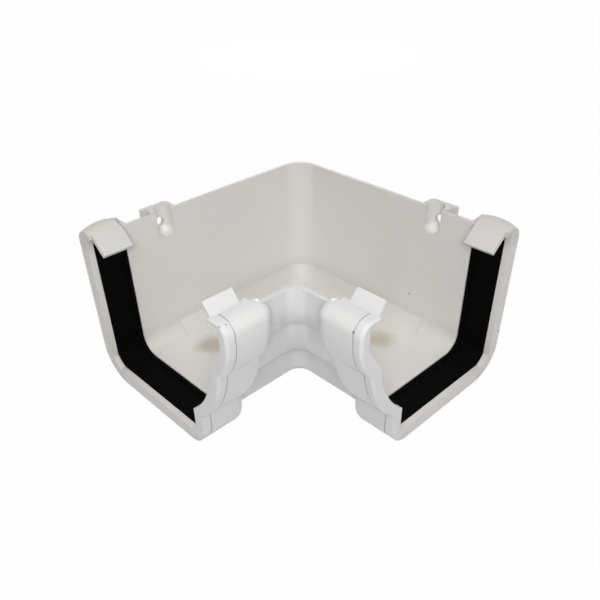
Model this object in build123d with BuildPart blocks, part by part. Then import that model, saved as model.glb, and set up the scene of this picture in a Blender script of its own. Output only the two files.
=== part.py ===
from build123d import *
import math
import os

os.makedirs("parts", exist_ok=True)

# Driving sizes in millimetres. Each run of the angle is drawn in its own section plane:
# w runs from the fascia plane across the channel to the ornamental front, z runs up.
run_length = 156.8
back_height = 87.5
wall = 2.3

# The outer face of the socket is the master profile. Every other face of the part lies
# a fixed distance inside it, so the inset alone tells the surfaces apart.
foot_width = 91.2
heel_radius = 18.0
toe_radius = 12.0
belly_centre = (52.1, 63.3)
belly_radius = 57.7
brow_width = 117.9
brow_height = 76.7
brow_radius = 29.9
shoulder_radius = 7.0

seat_inset = wall
seal_inset = 7.0
body_inset = 6.6
bore_inset = body_inset + wall
front_height = back_height - wall

# The lip at the mouth is deepest at the back and the floor and thins towards the top of
# the front.
lip_inset = 7.3
lip_inset_belly = 6.2
lip_inset_brow = 5.1
slope_drop = 17.7
slope_rise = 14.0

# Lengths along a run, measured back from its mouth.
lip_depth = 3.3
groove_depth = 5.2
groove_size = 0.5
seal_depth = 20.6
socket_depth = 21.5
mouth_bevel = 1.2

# Bead along the far edge of the seal.
bead_length = 2.2
bead_rise = 1.0

# Rounding of the corner where the two runs meet, one for the fascia side and one for
# the front. It is the same at every height of the profile.
back_corner_radius = 13.0
front_corner_radius = 8.2

# Rolled hood over the back of each mouth and the flap that hangs from it.
hood_length = 18.4
hood_rise = 12.6
hood_slope = 41.0
hood_radii = (7.4, 6.0, 6.7)
flap_tip = 20.7
flap_start = 11.1
flap_gap = 1.7
slot_width = 1.8
web_width = 1.9
web_rise = 1.8

# Sprung tongue on the ledge of each mouth, which the front of the gutter snaps under.
ledge_edge = 106.0
tongue_slope = 50.0
tongue_thickness = 2.0
tongue_rise = 5.6
tongue_start = 1.0
tongue_length = 15.8

# Fixing tab with its screw pocket in the back wall.
pocket_setback = 46.0
pocket_radius = 5.0
pocket_depth = 15.0
tab_rise = 1.2
tab_tail = 9.8
tab_drop = 3.5
boss_radius = 3.0
screw_diameter = 5.5
screw_drop = 8.5

# Cove that stiffens the inside of the heel as far as the fixing tab.
cove_size = 8.0
cove_radius = 16.0

half = run_length / 2
work_top = 1.5 * back_height
brow_middle = brow_width - brow_radius
diagonal = Plane(origin=(0, 0, 0), z_dir=(1, -1, 0))

def run_plane(along):
    """Section plane of the run along +X at a distance from the corner of the fascia."""
    return Plane(origin=(along - half, -half, 0), x_dir=(0, 1, 0), z_dir=(1, 0, 0))


def window(along, near, far, bottom, top):
    """Plain rectangle in the section plane of a run."""
    with BuildSketch(run_plane(along)) as frame:
        with Locations(((near + far) / 2, (bottom + top) / 2)):
            Rectangle(far - near, top - bottom)
    return frame.sketch


def foot_outline(inset, top):
    """Box of the channel with its round heel and toe."""
    with BuildSketch() as outline:
        with Locations((foot_width / 2, (inset + top) / 2)):
            Rectangle(foot_width - 2 * inset, top - inset)
        lower = outline.vertices().group_by(Axis.Y)[0].sort_by(Axis.X)
        fillet(lower[0], heel_radius - inset)
        lower = outline.vertices().group_by(Axis.Y)[0].sort_by(Axis.X)
        fillet(lower[-1], toe_radius - inset)
    return outline.sketch


def belly_outline(inset, top):
    """Lower swell of the ornamental front."""
    far = belly_centre[0] + belly_radius
    with BuildSketch() as outline:
        with Locations(belly_centre):
            Circle(belly_radius - inset)
        with Locations(((foot_width / 2 + far) / 2, top / 2)):
            Rectangle(far - foot_width / 2, top, mode=Mode.INTERSECT)
    return outline.sketch


def brow_outline(inset, top, shoulder):
    """Upper swell of the front, which ends upright in a round shoulder."""
    with BuildSketch() as outline:
        with Locations((brow_middle, brow_height)):
            Circle(brow_radius - inset)
        with Locations((brow_middle, (brow_height + top) / 2)):
            Rectangle(2 * (brow_radius - inset), top - brow_height)
        with Locations((brow_middle + brow_radius / 2, top / 2)):
            Rectangle(brow_radius, top, mode=Mode.INTERSECT)
        if shoulder > 0:
            upper = outline.vertices().group_by(Axis.Y)[-1].sort_by(Axis.X)
            fillet(upper[-1], shoulder)
    return outline.sketch


def channel(along, inset, top, shoulder=0.0):
    """Filled outline of the whole channel, closed flat at the given height."""
    with BuildSketch(run_plane(along)) as outline:
        add(foot_outline(inset, top))
        add(belly_outline(inset, top))
        add(brow_outline(inset, top, shoulder))
        # Above the swells the channel is open from the back to the front.
        with Locations(((foot_width / 2 + brow_middle) / 2, (brow_height + top) / 2)):
            Rectangle(brow_middle - foot_width / 2, top - brow_height)
    return outline.sketch


def lobe(outline, rim_bevel=0.0):
    """One swell of the socket, drawn in to the plain channel by a quarter round. Its rim
    at the mouth is sharp unless it is given a bevel."""
    start = run_length - socket_depth - body_inset
    with BuildPart() as solid:
        with BuildSketch(run_plane(start)):
            add(outline)
        extrude(amount=run_length - start)
        fillet(solid.faces().sort_by(Axis.X)[0].edges(), body_inset)
        if rim_bevel > 0:
            chamfer(solid.faces().sort_by(Axis.X)[-1].edges(), rim_bevel)
    return solid.part


def around_corner(straight, radius):
    """Cut a straight wall of the first run at the start of the corner and carry its
    section round to the second run without turning it, so that every height of the
    profile gets the same rounding."""
    start = Plane(origin=(radius - half, -half, 0), x_dir=(1, 1, 0), z_dir=(1, -1, 0))
    centre = body_inset - half + radius
    bend = Edge.make_circle(
        radius,
        Plane(origin=(centre, centre, 0)),
        start_angle=180,
        end_angle=270,
    )
    path = Edge.make_three_point_arc(bend @ 1, bend @ 0.5, bend @ 0)
    with BuildPart() as whole:
        add(straight)
        split(bisect_by=start, keep=Keep.TOP)
        on_start = whole.faces().filter_by(lambda f: abs(start.to_local_coords(f.center()).Z) < 0.001)
        mirror(about=diagonal)
        for section_face in on_start:
            sweep(section_face, path=path, normal=(-1, 1, 0))
    return whole.part


# Plain channel behind the sockets. The back wall and the front wall turn the corner
# with different radii and share the flat middle of the floor.
plain_length = run_length - socket_depth

with BuildPart() as back_straight:
    extrude(channel(0, body_inset, back_height), amount=plain_length)
    extrude(channel(0, bore_inset, back_height), amount=plain_length, mode=Mode.SUBTRACT)
    extrude(window(0, 0, foot_width / 2, 0, work_top), amount=plain_length, mode=Mode.INTERSECT)

with BuildPart() as front_straight:
    extrude(channel(0, body_inset, front_height), amount=plain_length)
    extrude(channel(0, bore_inset, front_height), amount=plain_length, mode=Mode.SUBTRACT)
    extrude(window(0, foot_width / 3, brow_width, 0, work_top), amount=plain_length, mode=Mode.INTERSECT)

# The cove is a skin on the inside of the heel, rooted in the middle of the wall.
pocket_centre = run_length - pocket_setback
root = heel_radius - (heel_radius - body_inset - wall / 2) * math.sqrt(0.5)

with BuildPart() as cove_straight:
    with BuildSketch(run_plane(0)):
        with BuildLine():
            high = (bore_inset, bore_inset + cove_size)
            low = (bore_inset + cove_size, bore_inset)
            RadiusArc(high, low, -cove_radius)
            Polyline(low, (low[0], low[1] - wall / 2), (root, root), (high[0] - wall / 2, high[1]), high)
        make_face()
    extrude(amount=pocket_centre)

back_wall = around_corner(back_straight.part, back_corner_radius)
front_wall = around_corner(front_straight.part, front_corner_radius)
cove = around_corner(cove_straight.part, back_corner_radius)

# Hood section at one station. The flap keeps one plane while the roll over the back
# grows tighter in the middle, which gives the hood its dome.
flap_turn = math.radians(hood_slope)
out_w = math.sin(flap_turn)
out_z = math.cos(flap_turn)


def roll_centre(radius):
    """Height of the centre of a roll that is tangent to the fascia and to the flap."""
    return back_height + hood_rise - radius * math.tan(math.radians(45) + flap_turn / 2)


hood_foot = roll_centre(max(hood_radii)) - groove_size


def hood_section(along, radius):
    rise = roll_centre(radius)
    bend_end = (radius + radius * out_w, rise + radius * out_z)
    tip = (flap_tip, bend_end[1] - (flap_tip - bend_end[0]) * math.tan(flap_turn))
    inner_end = (bend_end[0] - wall * out_w, bend_end[1] - wall * out_z)
    inner_tip = (tip[0] - wall * out_w, tip[1] - wall * out_z)
    with BuildSketch(run_plane(along)) as face:
        with BuildLine():
            Line((0, hood_foot), (0, rise))
            TangentArc((0, rise), bend_end, tangent=(0, 1))
            Polyline(bend_end, tip, inner_tip, inner_end)
            TangentArc((wall, rise), inner_end, tangent=(0, 1))
            Polyline((wall, rise), (wall, hood_foot), (0, hood_foot))
        make_face()
    return face.sketch


with BuildPart() as hood:
    for station, radius in enumerate(hood_radii):
        add(hood_section(run_length - hood_length * station / 2, radius))
    loft()
    # The flap stops short of the mouth and leaves a gap behind the end lip.
    gap = window(run_length - flap_gap, flap_start, 2 * flap_tip, 0, work_top)
    extrude(gap, amount=flap_gap, mode=Mode.SUBTRACT)
    # The end lip of the mouth closes the hood up to the middle of its roof.
    roof = hood_radii[0] - wall / 3
    with BuildSketch(run_plane(run_length - lip_depth)):
        with Locations((hood_radii[0], roll_centre(hood_radii[0]))):
            Circle(roof)
            Rectangle(2 * roof, roof, align=(Align.CENTER, Align.MAX))
        with Locations((lip_inset / 2, (hood_foot + work_top) / 2)):
            Rectangle(lip_inset, work_top - hood_foot, mode=Mode.INTERSECT)
    extrude(amount=lip_depth)

# Hollow of the socket: the plain bore, the seat of the seal and the opening of the lip.
# Over the front the hollow stops below the ledge that carries the tongue.
seal_start = run_length - seal_depth
seal_length = seal_depth - lip_depth
lip_start = run_length - lip_depth

with BuildPart() as lip_opening:
    with BuildSketch(run_plane(lip_start)):
        add(foot_outline(lip_inset_belly, front_height))
        add(belly_outline(lip_inset_belly, front_height))
    extrude(amount=lip_depth)
    extrude(window(lip_start, lip_inset, brow_width, lip_inset, work_top), amount=lip_depth, mode=Mode.INTERSECT)

with BuildPart() as brow_opening:
    extrude(channel(lip_start, lip_inset_brow, front_height), amount=lip_depth)
    # The opening widens on a slope from the lip of the belly to the lip of the brow.
    slope_foot = (belly_centre[0] + belly_radius - lip_inset_belly, brow_height - slope_drop)
    slope_top = (brow_width - lip_inset_brow, brow_height - slope_drop + slope_rise)
    with BuildSketch(run_plane(lip_start)):
        with BuildLine():
            near = foot_width / 2
            upper = ((slope_top[0], work_top), (near, work_top))
            Polyline(slope_foot, slope_top, *upper, (near, slope_foot[1]), slope_foot)
        make_face()
    extrude(amount=lip_depth, mode=Mode.INTERSECT)

with BuildPart() as hollow:
    bore_start = run_length - socket_depth - 2 * body_inset
    extrude(channel(bore_start, bore_inset, work_top), amount=seal_start - bore_start)
    extrude(channel(seal_start, seat_inset, front_height, shoulder_radius - seat_inset), amount=seal_length)
    extrude(window(seal_start, seat_inset, ledge_edge, front_height - wall, work_top), amount=seal_length)
    add(lip_opening)
    add(brow_opening)
    extrude(window(lip_start, lip_inset, ledge_edge, front_height - wall, work_top), amount=lip_depth)

with BuildPart() as parting_line:
    groove_start = run_length - groove_depth
    extrude(window(groove_start, -wall, brow_width + wall, -wall, work_top), amount=groove_size)
    inner = channel(groove_start, groove_size, back_height - groove_size, shoulder_radius - groove_size)
    extrude(inner, amount=groove_size, mode=Mode.SUBTRACT)

with BuildPart() as tongue:
    lean = math.radians(tongue_slope)
    drop_w = tongue_thickness * math.sin(lean)
    drop_z = tongue_thickness * math.cos(lean)
    with BuildSketch(run_plane(run_length - tongue_start - tongue_length)):
        with BuildLine():
            tip = (ledge_edge + wall / 2 - tongue_rise / math.tan(lean), back_height + tongue_rise)
            foot = (ledge_edge + wall / 2 + groove_size, back_height - groove_size * math.tan(lean))
            under_tip = (tip[0] - drop_w, tip[1] - drop_z)
            under_foot = (foot[0] - drop_w, foot[1] - drop_z)
            Polyline(tip, foot, under_foot, under_tip, tip)
        make_face()
    extrude(amount=tongue_length)

# Fixing tab: a boss that carries the back wall out to the fascia plane, with a plate
# that runs on behind the wall.
pocket_bed = back_height - pocket_depth + pocket_radius

with BuildPart() as tab:
    near = pocket_centre - pocket_radius - wall
    far = pocket_centre + pocket_radius + wall
    tab_end = pocket_centre + tab_tail
    tab_foot = back_height - pocket_depth - tab_drop
    with BuildSketch(Plane.XY.offset(tab_foot)):
        with Locations(((near + far) / 2 - half, (body_inset + wall / 2) / 2 - half)):
            Rectangle(far - near, body_inset + wall / 2)
        with Locations(((near + tab_end) / 2 - half, wall / 2 - half)):
            Rectangle(tab_end - near, wall)
    extrude(amount=back_height + tab_rise - tab_foot)
    corner = tab.edges().filter_by(Axis.Z).sort_by(Axis.X)[:2].sort_by(Axis.Y)[0]
    fillet(corner, boss_radius)
    lower = tab.edges().group_by(Axis.Z)[0].group_by(Axis.Y)[0]
    chamfer(lower, wall * 0.9)

with BuildPart() as pocket:
    axis_w = wall + pocket_radius
    centred = (Align.CENTER, Align.CENTER, Align.MIN)
    with Locations((pocket_centre - half, axis_w - half, pocket_bed)):
        Sphere(pocket_radius)
        Cylinder(pocket_radius, work_top - pocket_bed, align=centred)
        Box(2 * pocket_radius, 2 * wall, work_top - pocket_bed, align=(Align.CENTER, Align.MIN, Align.MIN))
        with Locations(Location((0, 0, 0), (-90, 0, 0))):
            Cylinder(pocket_radius, 2 * wall, align=centred)
    with Locations(Location((pocket_centre - half, -half, back_height - screw_drop), (-90, 0, 0))):
        Cylinder(screw_diameter / 2, 2 * axis_w)

with BuildPart() as run:
    add(lobe(foot_outline(0, back_height)))
    add(lobe(belly_outline(0, back_height), mouth_bevel))
    add(lobe(brow_outline(0, back_height, shoulder_radius), mouth_bevel))
    add(parting_line, mode=Mode.SUBTRACT)
    add(hollow, mode=Mode.SUBTRACT)
    # The hood takes the place of the back wall above the foot of its roll.
    above = window(run_length - hood_length, -wall, bore_inset, hood_foot, work_top)
    extrude(above, amount=hood_length, mode=Mode.SUBTRACT)
    add(hood)
    add(tongue)
    # Web across the back wall beside the hood, with an open slot between the two.
    with BuildSketch(run_plane(run_length - hood_length - slot_width - web_width)):
        with BuildLine():
            Polyline(
                (0, back_height),
                (0, back_height + web_rise),
                (seat_inset, back_height + web_rise),
                (bore_inset, back_height),
                (0, back_height),
            )
        make_face()
    extrude(amount=web_width)

with BuildPart() as gutter_angle:
    add(back_wall)
    add(front_wall)
    add(cove)
    add(run)
    add(tab)
    mirror(run.part, about=diagonal)
    mirror(tab.part, about=diagonal)
    add(pocket, mode=Mode.SUBTRACT)
    mirror(pocket.part, about=diagonal, mode=Mode.SUBTRACT)

gutter_angle.part.label = "gutter_angle"
export_step(gutter_angle.part, "parts/gutter_angle.step")

# Seal: a strip in the seat that runs from the top of the back to the foot of the
# shoulder, with a bead along its far edge.
with BuildPart() as seal_x:
    seal_top = front_height - shoulder_radius + seat_inset
    bead = channel(seal_start, seal_inset + bead_rise, work_top)
    extrude(channel(seal_start, seat_inset, seal_top), amount=seal_length)
    extrude(channel(seal_start, seal_inset, work_top), amount=seal_length, mode=Mode.SUBTRACT)
    extrude(channel(seal_start, seat_inset, seal_top), amount=bead_length)
    extrude(bead, amount=bead_length, mode=Mode.SUBTRACT)

with BuildPart() as seal_y:
    mirror(seal_x.part, about=diagonal)

seal_x.part.label = "seal_x"
export_step(seal_x.part, "parts/seal_x.step")
seal_y.part.label = "seal_y"
export_step(seal_y.part, "parts/seal_y.step")
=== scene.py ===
import math

import bpy
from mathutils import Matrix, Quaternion, Vector

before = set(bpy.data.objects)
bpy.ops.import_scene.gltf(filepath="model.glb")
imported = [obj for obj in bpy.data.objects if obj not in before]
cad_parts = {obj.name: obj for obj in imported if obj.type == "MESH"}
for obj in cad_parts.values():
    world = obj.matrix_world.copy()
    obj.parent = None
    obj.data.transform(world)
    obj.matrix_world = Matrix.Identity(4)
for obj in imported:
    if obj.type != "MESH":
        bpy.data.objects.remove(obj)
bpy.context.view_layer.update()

# Moulded angle
# One injection moulding in white PVC-U, which is screwed to the fascia through its two tabs.
# It is used: the channel has gone slightly cream and specks of dirt lie on it. Painted shade
# lies on the hoods and in the creases, and painted shadows lie on the floor of the channel.


def blank_material(name):
    """Empty node material that the next piece fills in."""
    mat = bpy.data.materials.new(name)
    mat.use_nodes = True
    nodes = mat.node_tree.nodes
    nodes.clear()
    out = nodes.new("ShaderNodeOutputMaterial")
    return mat, nodes, mat.node_tree.links, out


def noise(nodes, links, place, scale, detail):
    """Noise from 0 to 1 that stays fixed to the piece."""
    pattern = nodes.new("ShaderNodeTexNoise")
    pattern.inputs["Scale"].default_value = scale
    pattern.inputs["Detail"].default_value = detail
    links.new(place.outputs["Object"], pattern.inputs["Vector"])
    return pattern.outputs["Fac"]


def ramp(nodes, links, value, zero_at, one_at):
    """Smooth step that is 0 up to one value and 1 from the other on."""
    step = nodes.new("ShaderNodeMapRange")
    step.interpolation_type = "SMOOTHSTEP"
    step.inputs["From Min"].default_value = zero_at
    step.inputs["From Max"].default_value = one_at
    links.new(value, step.inputs["Value"])
    return step.outputs["Result"]


def math_node(nodes, links, operation, first, second):
    """Result of one operation on two inputs, each a socket or a plain number."""
    node = nodes.new("ShaderNodeMath")
    node.operation = operation
    for socket, value in zip(node.inputs, (first, second)):
        if isinstance(value, (int, float)):
            socket.default_value = value
        else:
            links.new(value, socket)
    return node.outputs["Value"]


# A Mix node for colours takes its factor in input 0 and its two colours in inputs 6 and 7,
# and gives the result in output 2.
def mottle(nodes, links, amount, first, second):
    """Colour that wanders from the first to the second, as the amount says."""
    mix = nodes.new("ShaderNodeMix")
    mix.data_type = "RGBA"
    links.new(amount, mix.inputs[0])
    mix.inputs[6].default_value = (*first, 1)
    mix.inputs[7].default_value = (*second, 1)
    return mix.outputs[2]


def coat(nodes, links, under, amount, colour):
    """Colour multiplied over the one below, as far as the amount says."""
    mix = nodes.new("ShaderNodeMix")
    mix.data_type = "RGBA"
    mix.blend_type = "MULTIPLY"
    links.new(amount, mix.inputs[0])
    links.new(under, mix.inputs[6])
    mix.inputs[7].default_value = (*colour, 1)
    return mix.outputs[2]


def dress(node_name, material):
    """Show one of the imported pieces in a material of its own."""
    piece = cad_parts[node_name]
    piece.data.materials.clear()
    piece.data.materials.append(material)


pvc, nodes, links, out = blank_material("white_pvc")
shader = nodes.new("ShaderNodeBsdfPrincipled")
shader.inputs["IOR"].default_value = 1.5
links.new(shader.outputs["BSDF"], out.inputs["Surface"])

# The runs mirror each other. So the smaller of x and y is the place across a run, from
# the back wall to the front, and the larger one is the place along it.
place = nodes.new("ShaderNodeTexCoord")
apart = nodes.new("ShaderNodeSeparateXYZ")
links.new(place.outputs["Object"], apart.inputs["Vector"])
across = math_node(nodes, links, "MINIMUM", apart.outputs["X"], apart.outputs["Y"])
along = math_node(nodes, links, "MAXIMUM", apart.outputs["X"], apart.outputs["Y"])
height = apart.outputs["Z"]

# Blotches a few centimetres wide.
cool_white = (0.815, 0.822, 0.822)
warm_white = (0.832, 0.823, 0.815)
cloud = noise(nodes, links, place, scale=32, detail=4)
blotch = ramp(nodes, links, cloud, zero_at=0.3, one_at=0.7)
colour = mottle(nodes, links, blotch, cool_white, warm_white)

# Cream tone inside the channel.
cream = (1.0, 0.976, 0.945)
channel = ramp(nodes, links, across, zero_at=0.006, one_at=-0.006)
colour = coat(nodes, links, colour, channel, cream)

# Painted shade on the hoods and their flaps, which face away from the main light, and a
# second layer on the crowns of the hoods.
hood_shade = (0.89, 0.90, 0.905)
crown_shade = (0.97, 0.97, 0.93)
high = ramp(nodes, links, height, zero_at=0.078, one_at=0.083)
behind = ramp(nodes, links, across, zero_at=-0.054, one_at=-0.059)
at_mouth = ramp(nodes, links, along, zero_at=0.054, one_at=0.060)
shaded_hoods = math_node(nodes, links, "MULTIPLY", high, behind)
shaded_hoods = math_node(nodes, links, "MULTIPLY", shaded_hoods, at_mouth)
colour = coat(nodes, links, colour, shaded_hoods, hood_shade)
topmost = ramp(nodes, links, height, zero_at=0.0885, one_at=0.0915)
crown = math_node(nodes, links, "MULTIPLY", shaded_hoods, topmost)
colour = coat(nodes, links, colour, crown, crown_shade)

# The cove at the foot of the back walls is made a little darker.
cove_tone = (0.92, 0.912, 0.90)
low = ramp(nodes, links, height, zero_at=0.026, one_at=0.014)
at_wall = ramp(nodes, links, across, zero_at=-0.058, one_at=-0.065)
cove_share = math_node(nodes, links, "MULTIPLY", low, at_wall)
colour = coat(nodes, links, colour, cove_share, cove_tone)

# Painted shade in the creases, darker where the surface around a point closes in on it. It is
# weaker in the channel than outside.
fold_shade_tone = (0.80, 0.77, 0.78)
channel_cut = 0.65
occlusion = nodes.new("ShaderNodeAmbientOcclusion")
occlusion.samples = 12
occlusion.inputs["Distance"].default_value = 0.008
occluded = ramp(nodes, links, occlusion.outputs["AO"], zero_at=0.95, one_at=0.6)
shade_strength = math_node(nodes, links, "MULTIPLY", channel, -channel_cut)
shade_strength = math_node(nodes, links, "ADD", shade_strength, 1.0)
fold_shade = math_node(nodes, links, "MULTIPLY", shade_strength, occluded)
colour = coat(nodes, links, colour, fold_shade, fold_shade_tone)

# Painted shadows on the channel floor, and specks of dirt, each with its place, its radius
# and its colour. Noise stretches the distance from the place, which makes the outline ragged.
# The colour is full over the inner quarter.
least_stretch = 0.55
added_stretch = 0.9
full_share = 0.25
marks = (
    # The first two are painted shadows on the channel floor; the rest are specks of dirt.
    ("silt left", (0.0290, -0.0450, 0.0089), 0.0120, (0.72, 0.675, 0.57)),
    ("silt right", (-0.0450, 0.0225, 0.0089), 0.0115, (0.78, 0.74, 0.64)),
    ("slot left", (0.0604, -0.0700, 0.0920), 0.0011, (0.62, 0.40, 0.26)),
    ("slot left low", (0.0604, -0.0684, 0.0912), 0.0012, (0.62, 0.40, 0.26)),
    ("slot left end", (0.0602, -0.0670, 0.0902), 0.0010, (0.66, 0.45, 0.30)),
    ("pocket", (0.0342, -0.0723, 0.0730), 0.0010, (0.86, 0.68, 0.50)),
    ("tab right", (-0.0767, 0.0298, 0.0887), 0.0018, (0.90, 0.76, 0.50)),
    ("wall right", (-0.0695, 0.0221, 0.0298), 0.0010, (0.62, 0.48, 0.38)),
    ("wall left", (0.0020, -0.0695, 0.0610), 0.0016, (0.93, 0.91, 0.89)),
    ("rim right", (-0.0775, 0.0784, 0.0266), 0.0011, (0.12, 0.11, 0.10)),
    ("brow right", (0.0387, 0.0733, 0.0825), 0.0010, (0.35, 0.33, 0.31)),
    ("brow left", (0.0752, 0.0362, 0.0865), 0.0007, (0.50, 0.48, 0.47)),
    ("brow left rim", (0.0779, 0.0352, 0.0861), 0.0010, (0.66, 0.58, 0.57)),
)
ragged = noise(nodes, links, place, scale=160, detail=3)
stretch = math_node(nodes, links, "MULTIPLY", ragged, added_stretch)
stretch = math_node(nodes, links, "ADD", stretch, least_stretch)
for name, spot, radius, tone in marks:
    away = nodes.new("ShaderNodeVectorMath")
    away.operation = "DISTANCE"
    away.label = name
    away.inputs[1].default_value = spot
    links.new(place.outputs["Object"], away.inputs[0])
    uneven = math_node(nodes, links, "MULTIPLY", away.outputs["Value"], stretch)
    stain_and_shadow = ramp(nodes, links, uneven, zero_at=radius, one_at=full_share * radius)
    colour = coat(nodes, links, colour, stain_and_shadow, tone)
links.new(colour, shader.inputs["Base Color"])

# The gloss varies slowly, with a faint ripple of the moulding. The edges are softened.
swell = noise(nodes, links, place, scale=22, detail=0)
gloss = nodes.new("ShaderNodeMapRange")
gloss.inputs["To Min"].default_value = 0.29
gloss.inputs["To Max"].default_value = 0.37
links.new(swell, gloss.inputs["Value"])
links.new(gloss.outputs["Result"], shader.inputs["Roughness"])
soft_edge = nodes.new("ShaderNodeBevel")
soft_edge.samples = 6
soft_edge.inputs["Radius"].default_value = 0.0004
ripple = nodes.new("ShaderNodeBump")
ripple.inputs["Strength"].default_value = 0.5
ripple.inputs["Distance"].default_value = 0.0004
links.new(swell, ripple.inputs["Height"])
links.new(soft_edge.outputs["Normal"], ripple.inputs["Normal"])
links.new(ripple.outputs["Normal"], shader.inputs["Normal"])
dress("gutter_angle", pvc)

# Seals
# A strip of black EPDM rubber lies in the seat of each socket, pressed in and held by its
# own spring. It is matte, with a fine grain from the extrusion die.
grain_pit = (0.0004, 0.0006, 0.0005)
grain_top = (0.0016, 0.0020, 0.0018)
rubber, nodes, links, out = blank_material("black_epdm")
shader = nodes.new("ShaderNodeBsdfPrincipled")
shader.inputs["Roughness"].default_value = 0.75
shader.inputs["Specular IOR Level"].default_value = 0.04
links.new(shader.outputs["BSDF"], out.inputs["Surface"])
place = nodes.new("ShaderNodeTexCoord")
grain = noise(nodes, links, place, scale=1400, detail=2)
soot = mottle(nodes, links, grain, grain_pit, grain_top)
links.new(soot, shader.inputs["Base Color"])
rough = nodes.new("ShaderNodeBump")
rough.inputs["Strength"].default_value = 0.3
rough.inputs["Distance"].default_value = 0.0001
links.new(grain, rough.inputs["Height"])
links.new(rough.outputs["Normal"], shader.inputs["Normal"])
for name in ("seal_x", "seal_y"):
    dress(name, rubber)

# Floor
# White paper, half a millimetre under the sockets so that no two faces lie in one plane.
# The camera sees it as white, with a faint shadow of the part.
floor_gap = 0.0005
paper_tone = (0.62, 0.62, 0.62, 1)
white_share = 0.985


def white_rays(nodes, links):
    """1 on the rays that see a white studio: from the camera, off gloss and through glass."""
    path = nodes.new("ShaderNodeLightPath")
    camera_ray = path.outputs["Is Camera Ray"]
    seen = math_node(nodes, links, "MAXIMUM", camera_ray, path.outputs["Is Glossy Ray"])
    return math_node(nodes, links, "MAXIMUM", seen, path.outputs["Is Transmission Ray"])


bpy.ops.object.select_all(action="DESELECT")
bpy.ops.mesh.primitive_plane_add(size=6, location=(0, 0, -floor_gap))
floor = bpy.context.object
floor.name = "floor"
paper, nodes, links, out = blank_material("floor_paper")
diffuse = nodes.new("ShaderNodeBsdfDiffuse")
diffuse.inputs["Color"].default_value = paper_tone
glow = nodes.new("ShaderNodeEmission")
seen = math_node(nodes, links, "MULTIPLY", white_rays(nodes, links), white_share)
mix = nodes.new("ShaderNodeMixShader")
links.new(seen, mix.inputs["Fac"])
links.new(diffuse.outputs["BSDF"], mix.inputs[1])
links.new(glow.outputs["Emission"], mix.inputs[2])
links.new(mix.outputs["Shader"], out.inputs["Surface"])
floor.data.materials.append(paper)

# Backdrop and light
# The world is white to the camera and a weak soft light to the part. The main light
# stands close above the camera, two hang overhead, one fills in from the right and one
# stands low behind the part.
world = bpy.data.worlds.new("studio")
bpy.context.scene.world = world
world.use_nodes = True
nodes = world.node_tree.nodes
links = world.node_tree.links
nodes.clear()
out = nodes.new("ShaderNodeOutputWorld")
soft = nodes.new("ShaderNodeBackground")
soft.inputs["Color"].default_value = (0.97, 0.985, 1.0, 1)
soft.inputs["Strength"].default_value = 0.18
white = nodes.new("ShaderNodeBackground")
white.inputs["Color"].default_value = (1, 1, 1, 1)
white.inputs["Strength"].default_value = 1.0
mix = nodes.new("ShaderNodeMixShader")
links.new(white_rays(nodes, links), mix.inputs["Fac"])
links.new(soft.outputs["Background"], mix.inputs[1])
links.new(white.outputs["Background"], mix.inputs[2])
links.new(mix.outputs["Shader"], out.inputs["Surface"])


def facing(place, aim):
    """Turn of a light or camera that stands at the place and points at the aim."""
    return (Vector(aim) - Vector(place)).to_track_quat("-Z", "Y")


def lamp(name, place, aim_height, size, power):
    """Square soft light that points at the middle of the part."""
    bpy.ops.object.light_add(type="AREA", location=place)
    light = bpy.context.object
    light.name = name
    light.rotation_euler = facing(place, (0, 0, aim_height)).to_euler()
    light.data.shape = "SQUARE"
    light.data.size = size
    light.data.energy = power
    light.data.color = (1.0, 0.995, 0.99)


lamp("key", (0.33, 0.35, 0.36), aim_height=0.05, size=0.18, power=1.36)
lamp("overhead", (0.16, 0.16, 1.2), aim_height=0.04, size=0.8, power=2.4)
lamp("boom", (0.15, 0.15, 0.5), aim_height=0.05, size=0.3, power=0.38)
lamp("side", (-0.25, 0.9, 0.3), aim_height=0.04, size=0.5, power=0.55)
lamp("rear", (-0.6, -0.6, 0.12), aim_height=0.05, size=0.24, power=2.0)

# Camera
# It looks down into the corner from the side of the ornamental fronts, and leans about one
# degree. The shift is what the photograph's framing needs: the part stands above the middle
# of the lens.
camera_place = (0.20196, 0.21324, 0.23668)
camera_aim = (0.0125, 0.012, 0.03)
camera_lean = math.radians(-1.27)
bpy.ops.object.camera_add(location=camera_place)
camera = bpy.context.object
lean = Quaternion((0, 0, 1), camera_lean)
camera.rotation_euler = (facing(camera_place, camera_aim) @ lean).to_euler()
camera.data.sensor_width = 36
camera.data.lens = 38.824
camera.data.shift_x = 0.00333
camera.data.shift_y = 0.075
camera.data.clip_start = 0.01
bpy.context.scene.camera = camera
bpy.context.scene.view_settings.view_transform = "Standard"
